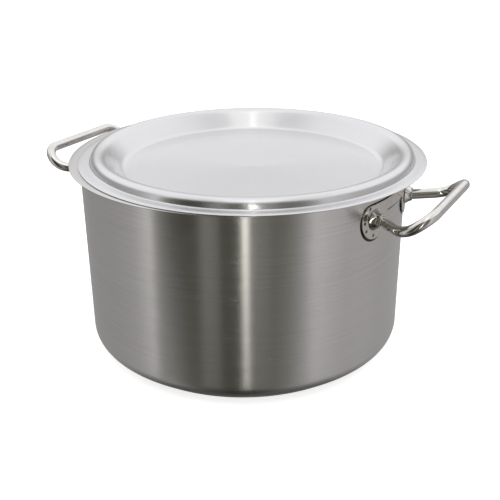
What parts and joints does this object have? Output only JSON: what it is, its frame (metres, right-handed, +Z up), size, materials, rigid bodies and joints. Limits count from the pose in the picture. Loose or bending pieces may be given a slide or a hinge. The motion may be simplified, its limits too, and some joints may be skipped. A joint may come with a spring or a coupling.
{
  "type": "stock pot",
  "caption": "Wide straight-sided steel stock pot with a flat rim, side loop handles of bent tube on arched plates, a sandwich base and a loose pressed lid.",
  "frame": {"origin": "centre of the flat face that the pot stands on, on the pot's axis", "axes": "+Z up along the pot's axis, +X towards the right handle, the left handle on -X"},
  "size_m": [0.5418, 0.4306, 0.2518],
  "materials": {
    "body_steel": "satin stainless steel, brushed round the body",
    "lid_steel": "satin stainless steel, spun in rings about the centre",
    "polished_steel": "mirror-polished stainless steel",
    "core_aluminium": "bare rolled aluminium"
  },
  "bodies": {
    "pot": {"pot_shell": "body_steel", "base_core": "core_aluminium", "base_cap": "body_steel", "right_handle_tube": "polished_steel", "right_handle_plate": "polished_steel", "right_front_ferrule": "polished_steel", "right_rear_ferrule": "polished_steel", "left_handle_tube": "polished_steel", "left_handle_plate": "polished_steel", "left_front_ferrule": "polished_steel", "left_rear_ferrule": "polished_steel"},
    "lid": {"lid": "lid_steel"}
  },
  "joints": [
    {"name": "lid_lift", "type": "slide", "parent": "pot", "child": "lid", "axis": [0, 0, 1], "range_m": [0, 0.2]}
  ]
}
